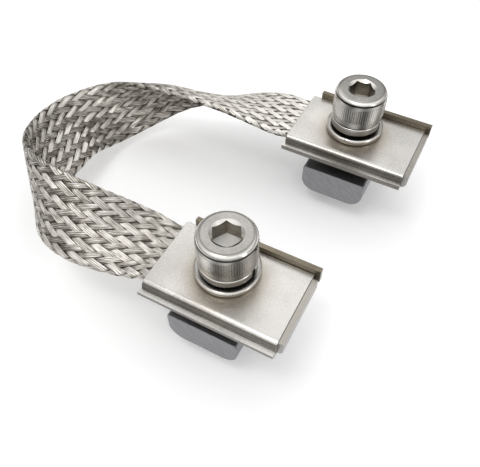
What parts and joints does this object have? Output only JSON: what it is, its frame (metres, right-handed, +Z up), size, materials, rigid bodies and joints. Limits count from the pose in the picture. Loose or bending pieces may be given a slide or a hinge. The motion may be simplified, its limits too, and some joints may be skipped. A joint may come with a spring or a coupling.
{
  "type": "solar rail grounding jumper",
  "caption": "Flat braided grounding strap looped between folded sheet rail clamps, each with a socket head cap screw, a split spring washer, a flat washer and a rail nut.",
  "frame": {"origin": "middle of the near clamp's screw hole, on the underside of its tray, which is the top of the rail", "axes": "+Z up out of the rail along the screws, +Y along the rail from the near clamp to the far one, +X across the rail away from the strap's loop"},
  "size_m": [0.0961, 0.079, 0.033],
  "materials": {
    "braid": "braided fine wire, soft metallic",
    "sheet": "satin rolled sheet",
    "washer": "smooth satin",
    "screw": "polished, knurled side",
    "nut": "mill finish with sawn ends"
  },
  "bodies": {
    "clamped_strap": {"braided_strap": "braid", "near_tray": "sheet", "near_cover": "sheet", "near_flat_washer": "washer", "near_spring_washer": "washer", "far_tray": "sheet", "far_cover": "sheet", "far_flat_washer": "washer", "far_spring_washer": "washer"},
    "near_screw": {"near_cap_screw": "screw"},
    "near_nut": {"near_rail_nut": "nut"},
    "far_screw": {"far_cap_screw": "screw"},
    "far_nut": {"far_rail_nut": "nut"}
  },
  "joints": [
    {"name": "near_screw_turn", "type": "hinge", "parent": "clamped_strap", "child": "near_screw", "pos_m": [0, 0, 0], "axis": [0, 0, 1], "range_deg": [-811, 1441]},
    {"name": "near_nut_slide", "type": "slide", "parent": "clamped_strap", "child": "near_nut", "axis": [0, 0, 1], "range_m": [-0.005, 0.00281]},
    {"name": "far_screw_turn", "type": "hinge", "parent": "clamped_strap", "child": "far_screw", "pos_m": [0.0077, 0.0551, 0], "axis": [0, 0, 1], "range_deg": [-811, 1441]},
    {"name": "far_nut_slide", "type": "slide", "parent": "clamped_strap", "child": "far_nut", "axis": [0, 0, 1], "range_m": [-0.005, 0.00281]}
  ],
  "couplings": [
    {"joint": "near_screw_turn", "follows": "near_nut_slide", "rad_per_m": -5026.5},
    {"joint": "far_screw_turn", "follows": "far_nut_slide", "rad_per_m": -5026.5}
  ]
}
